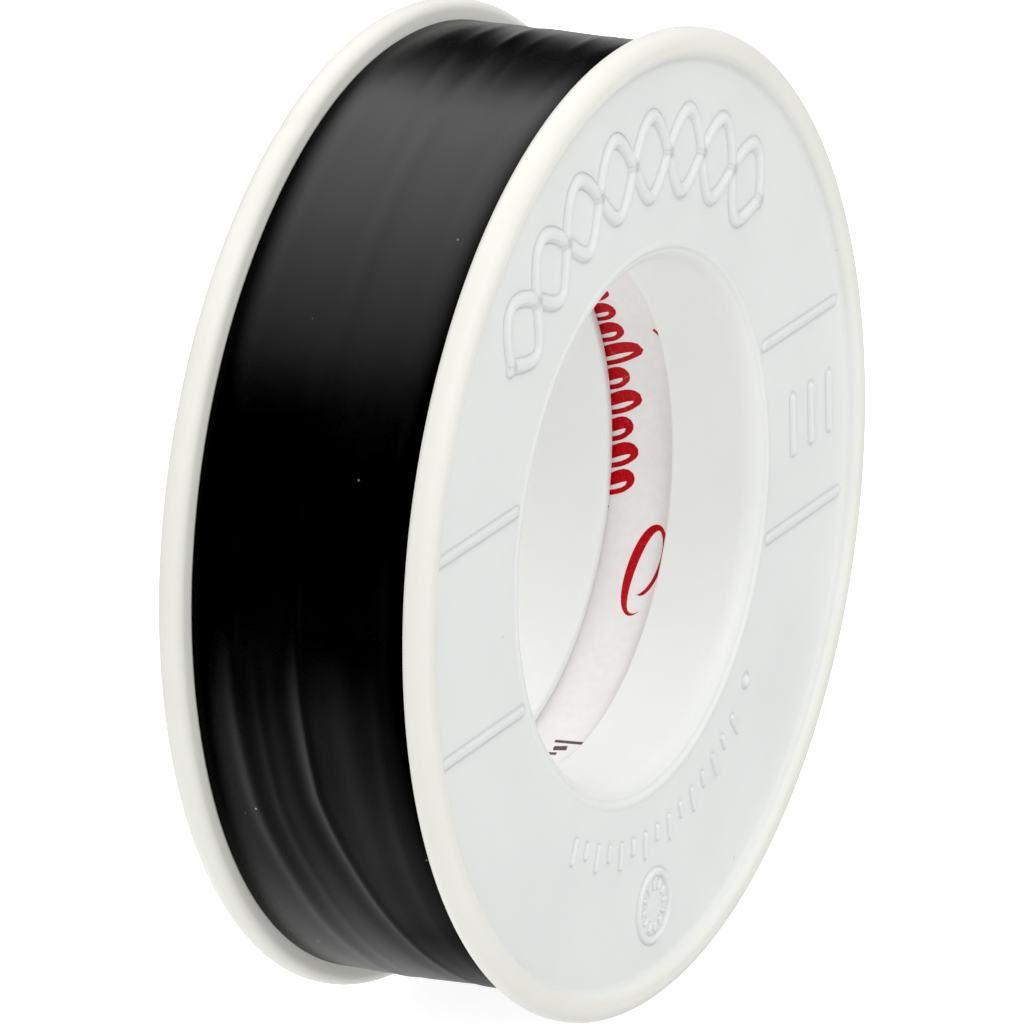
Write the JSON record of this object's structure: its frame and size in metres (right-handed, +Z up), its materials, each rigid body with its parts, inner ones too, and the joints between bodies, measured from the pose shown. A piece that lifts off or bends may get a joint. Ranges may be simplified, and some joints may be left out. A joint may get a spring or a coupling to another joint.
{
  "type": "electrical tape roll",
  "caption": "Roll of black adhesive electrical tape on a paper core between two white moulded side discs, with a free end that lifts.",
  "frame": {"origin": "middle of the bore, halfway between the two side discs", "axes": "+Z up as the roll stands on its rims; the roll's axis lies along Y; the front side disc faces -Y; +X is the side where the tape's free end lies"},
  "size_m": [0.064, 0.019, 0.064],
  "materials": {
    "disc_plastic": "satin moulded polystyrene, white",
    "core_card": "matt wound paper board",
    "liner_paper": "white coated paper with a printed red pattern",
    "tape_pvc": "satin black PVC film"
  },
  "bodies": {
    "roll": {"core_board": "core_card", "core_liner": "liner_paper", "wound_tape": "tape_pvc"},
    "front_disc": {"front_side_disc": "disc_plastic"},
    "rear_disc": {"rear_side_disc": "disc_plastic"},
    "end_1": {"tape_end_1": "tape_pvc"},
    "end_2": {"tape_end_2": "tape_pvc"},
    "end_3": {"tape_end_3": "tape_pvc"}
  },
  "joints": [
    {"name": "front_disc_pull", "type": "slide", "parent": "roll", "child": "front_disc", "axis": [0, -1, 0], "range_m": [0, 0.012]},
    {"name": "rear_disc_pull", "type": "slide", "parent": "roll", "child": "rear_disc", "axis": [0, 1, 0], "range_m": [0, 0.012]},
    {"name": "peel_1", "type": "hinge", "parent": "roll", "child": "end_1", "pos_m": [0.02411, 0, 0.01883], "axis": [0, -1, 0], "range_deg": [0, 35]},
    {"name": "peel_2", "type": "hinge", "parent": "end_1", "child": "end_2", "pos_m": [0.02857, 0, 0.01097], "axis": [0, -1, 0], "range_deg": [0, 35]},
    {"name": "peel_3", "type": "hinge", "parent": "end_2", "child": "end_3", "pos_m": [0.03053, 0, 0.00213], "axis": [0, -1, 0], "range_deg": [0, 35]}
  ],
  "couplings": [
    {"joint": "peel_2", "follows": "peel_1", "ratio": 1},
    {"joint": "peel_3", "follows": "peel_1", "ratio": 1}
  ]
}
